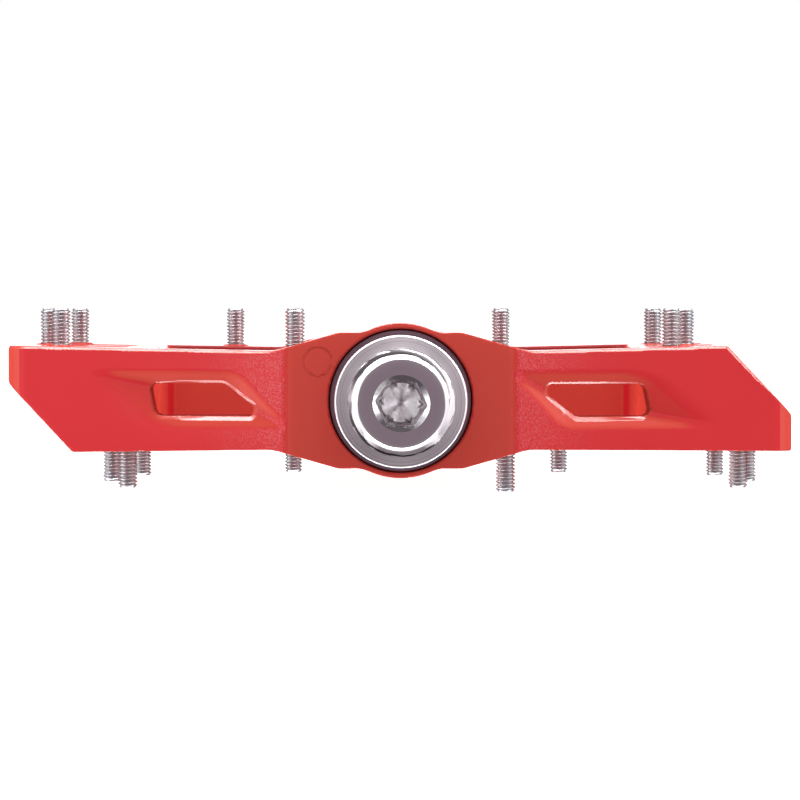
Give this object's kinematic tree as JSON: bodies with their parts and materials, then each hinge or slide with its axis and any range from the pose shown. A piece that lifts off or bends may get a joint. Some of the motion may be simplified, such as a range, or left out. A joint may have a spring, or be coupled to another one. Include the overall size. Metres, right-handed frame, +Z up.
{
  "type": "flat pedal",
  "caption": "Right-hand flat bicycle pedal: swept resin platform with threaded traction pins turning on a steel spindle with hex drive.",
  "frame": {"origin": "centre of the spindle flange's front face, where it seats on the crank arm", "axes": "+Y along the spindle away from the crank, +Z up, +X to the right seen from the crank side"},
  "size_m": [0.1102, 0.1175, 0.0252],
  "materials": {
    "red_resin": "glass-filled nylon, satin, moulded texture",
    "black_resin": "satin black resin",
    "seal_rubber": "matte",
    "bush_resin": "natural acetal",
    "spindle_steel": "turned and polished chromoly steel",
    "race_steel": "hardened, ground",
    "pin_steel": "bright zinc plated steel",
    "ball_steel": "polished"
  },
  "bodies": {
    "spindle": {"spindle": "spindle_steel", "outer_cone": "race_steel", "tab_washer": "race_steel", "lock_nut": "race_steel"},
    "platform": {"platform": "red_resin", "lock_bolt": "black_resin", "dust_seal": "seal_rubber", "bush_sleeve": "bush_resin", "bearing_sleeve": "race_steel", "pin_upper_1": "pin_steel", "pin_upper_2": "pin_steel", "pin_upper_3": "pin_steel", "pin_upper_4": "pin_steel", "pin_upper_5": "pin_steel", "pin_upper_6": "pin_steel", "pin_upper_7": "pin_steel", "pin_upper_8": "pin_steel", "pin_upper_9": "pin_steel", "pin_lower_1": "pin_steel", "pin_lower_2": "pin_steel", "pin_lower_3": "pin_steel", "pin_lower_4": "pin_steel", "pin_lower_5": "pin_steel", "pin_lower_6": "pin_steel", "pin_lower_7": "pin_steel", "pin_lower_8": "pin_steel", "pin_lower_9": "pin_steel"},
    "inner_ball_row": {"inner_balls": "ball_steel"},
    "outer_ball_row": {"outer_balls": "ball_steel"}
  },
  "joints": [
    {"name": "platform_spin", "type": "hinge", "parent": "spindle", "child": "platform", "pos_m": [0, 0.0565, 0], "axis": [0, 1, 0], "continuous": true},
    {"name": "inner_ball_orbit", "type": "hinge", "parent": "spindle", "child": "inner_ball_row", "pos_m": [0, 0.07, 0], "axis": [0, 1, 0], "continuous": true},
    {"name": "outer_ball_orbit", "type": "hinge", "parent": "spindle", "child": "outer_ball_row", "pos_m": [0, 0.084, 0], "axis": [0, 1, 0], "continuous": true}
  ],
  "couplings": [
    {"joint": "inner_ball_orbit", "follows": "platform_spin", "ratio": 0.587},
    {"joint": "outer_ball_orbit", "follows": "platform_spin", "ratio": 0.587}
  ]
}
